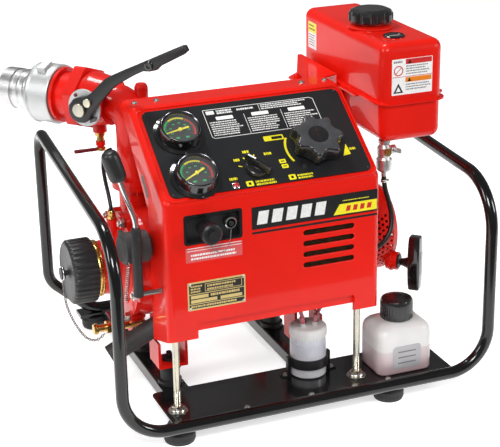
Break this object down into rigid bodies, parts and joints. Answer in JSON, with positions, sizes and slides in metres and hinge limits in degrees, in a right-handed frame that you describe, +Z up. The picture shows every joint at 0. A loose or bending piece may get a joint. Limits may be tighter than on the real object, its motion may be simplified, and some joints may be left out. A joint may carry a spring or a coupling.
{
  "type": "portable fire pump",
  "caption": "Portable engine-driven fire pump in a bent-tube carrying frame, with control panel, fuel tank, capped suction inlet and ball-valve delivery outlet.",
  "frame": {"origin": "on the floor under the middle of the whole machine", "axes": "+X to the right as seen by the operator facing the control panel, +Y away from the operator, +Z up"},
  "size_m": [0.7822, 0.5996, 0.672],
  "materials": {
    "black_tube": "gloss",
    "black_plate": "satin",
    "fire_red": "gloss",
    "panel_grey": "satin",
    "black_rubber": "matt",
    "zinc": "satin",
    "steel": "satin",
    "black_plastic": "matt",
    "gloss_black": "gloss",
    "dial_glass": "clear",
    "needle_yellow": "gloss",
    "brass": "satin",
    "aluminium": "satin",
    "cast_aluminium": "cast",
    "exhaust_grey": "matt",
    "vinyl_black": "satin",
    "chain_steel": "polished",
    "chrome": "polished",
    "bottle_white": "translucent",
    "white_plastic": "satin",
    "pink_vinyl": "gloss",
    "red_handle": "gloss"
  },
  "bodies": {
    "machine": {"frame_tube": "black_tube", "base_plate": "black_plate", "engine_rails": "black_plate", "rubber_feet": "black_rubber", "rubber_mounts": "black_rubber", "engine_feet": "fire_red", "cover_stays": "zinc", "control_cover": "fire_red", "control_panel": "panel_grey", "pressure_gauge_case": "gloss_black", "suction_gauge_case": "gloss_black", "gauge_glasses": "dial_glass", "socket_plate": "black_plastic", "screws_and_bolts": "steel", "tank_upper_shell": "fire_red", "tank_lower_shell": "fire_red", "tank_bracket": "fire_red", "petcock": "aluminium", "fuel_hose": "vinyl_black", "crankcase": "cast_aluminium", "cylinder": "cast_aluminium", "carburettor": "cast_aluminium", "air_cleaner": "black_plastic", "silencer": "exhaust_grey", "fan_housing": "cast_aluminium", "starter_housing": "fire_red", "pump_casing": "fire_red", "suction_neck": "fire_red", "cap_swivel": "black_plastic", "drain_cock": "brass", "cap_chain": "chain_steel", "delivery_elbow": "fire_red", "valve_body": "fire_red", "hose_tail": "aluminium", "priming_hose": "vinyl_black", "vacuum_pump": "exhaust_grey", "oil_bottle": "bottle_white", "canister": "bottle_white", "canister_lid": "white_plastic", "canister_holder": "black_plate", "canister_tubes": "pink_vinyl"},
    "delivery_valve": {"valve_lever": "black_plate", "valve_ball": "chrome"},
    "throttle": {"throttle_knob": "black_plastic"},
    "selector": {"selector_knob": "black_plastic"},
    "pressure_pointer": {"pressure_needle": "needle_yellow"},
    "suction_pointer": {"suction_needle": "needle_yellow"},
    "suction_blank_cap": {"suction_cap": "black_plastic"},
    "tank_cap": {"fuel_cap": "black_plastic"},
    "fuel_tap": {"petcock_lever": "aluminium"},
    "crankshaft": {"drive_shaft": "steel", "impeller": "cast_aluminium", "flywheel_fan": "cast_aluminium"},
    "recoil_grip": {"starter_grip": "black_plastic"},
    "recoil_pulley": {"starter_pulley": "black_plastic"},
    "primer": {"priming_lever": "black_rubber"},
    "air_cock": {"cock_handle": "red_handle"},
    "oil_cap": {"bottle_cap": "black_plastic"},
    "socket_plug": {"socket_cap": "black_plastic"},
    "hose_coupling": {"coupling_ring": "aluminium"}
  },
  "joints": [
    {"name": "delivery_lever_turn", "type": "hinge", "parent": "machine", "child": "delivery_valve", "pos_m": [-0.22682, 0.08386, 0.532], "axis": [-0.766, -0.6428, 0], "range_deg": [0, 90]},
    {"name": "throttle_turn", "type": "hinge", "parent": "machine", "child": "throttle", "pos_m": [0.0776, -0.17887, 0.47524], "axis": [0, -0.5764, 0.8171], "range_deg": [0, 270]},
    {"name": "selector_turn", "type": "hinge", "parent": "machine", "child": "selector", "pos_m": [-0.0414, -0.20257, 0.45853], "axis": [0, -0.5764, 0.8171], "range_deg": [0, 90]},
    {"name": "pressure_needle_turn", "type": "hinge", "parent": "machine", "child": "pressure_pointer", "pos_m": [-0.1534, -0.12575, 0.51271], "axis": [0, 0.5764, -0.8171], "range_deg": [0, 240], "stiffness_Nm_per_rad": 0.0005, "springref_deg": -17.19},
    {"name": "suction_needle_turn", "type": "hinge", "parent": "machine", "child": "suction_pointer", "pos_m": [-0.1524, -0.20338, 0.45795], "axis": [0, 0.5764, -0.8171], "range_deg": [0, 240], "stiffness_Nm_per_rad": 0.0005, "springref_deg": -17.19},
    {"name": "suction_cap_turn", "type": "hinge", "parent": "machine", "child": "suction_blank_cap", "pos_m": [-0.3224, -0.0537, 0.262], "axis": [1, 0, 0], "range_deg": [0, 90]},
    {"name": "fuel_cap_turn", "type": "hinge", "parent": "machine", "child": "tank_cap", "pos_m": [0.2696, -0.0097, 0.65], "axis": [0, 0, 1], "range_deg": [0, 90]},
    {"name": "fuel_tap_turn", "type": "hinge", "parent": "machine", "child": "fuel_tap", "pos_m": [0.2586, -0.1307, 0.434], "axis": [1, 0, 0], "range_deg": [0, 90]},
    {"name": "crankshaft_turn", "type": "hinge", "parent": "machine", "child": "crankshaft", "pos_m": [0.0276, -0.0537, 0.262], "axis": [1, 0, 0], "continuous": true},
    {"name": "starter_pull", "type": "slide", "parent": "machine", "child": "recoil_grip", "axis": [0.7071, -0.7071, 0], "range_m": [0, 0.5], "stiffness_N_per_m": 20, "springref_m": -0.3},
    {"name": "pulley_turn", "type": "hinge", "parent": "machine", "child": "recoil_pulley", "pos_m": [0.2596, -0.0537, 0.262], "axis": [-1, 0, 0], "range_deg": [0, 640]},
    {"name": "priming_stroke", "type": "hinge", "parent": "machine", "child": "primer", "pos_m": [-0.2644, -0.2127, 0.268], "axis": [1, 0, 0], "range_deg": [0, 35], "stiffness_Nm_per_rad": 3, "springref_deg": -11.46},
    {"name": "air_cock_turn", "type": "hinge", "parent": "machine", "child": "air_cock", "pos_m": [-0.23325, 0.09152, 0.44], "axis": [0, 0, 1], "range_deg": [0, 90]},
    {"name": "oil_cap_turn", "type": "hinge", "parent": "machine", "child": "oil_cap", "pos_m": [0.2276, -0.2157, 0.15], "axis": [0, 0, 1], "range_deg": [0, 180]},
    {"name": "socket_cap_pull", "type": "slide", "parent": "machine", "child": "socket_plug", "axis": [0, -1, 0], "range_m": [0, 0.03]},
    {"name": "coupling_turn", "type": "hinge", "parent": "machine", "child": "hose_coupling", "pos_m": [-0.3001, 0.17119, 0.532], "axis": [-0.6428, 0.766, 0], "range_deg": [0, 45]}
  ],
  "couplings": [
    {"joint": "pulley_turn", "follows": "starter_pull", "rad_per_m": 22.222}
  ]
}
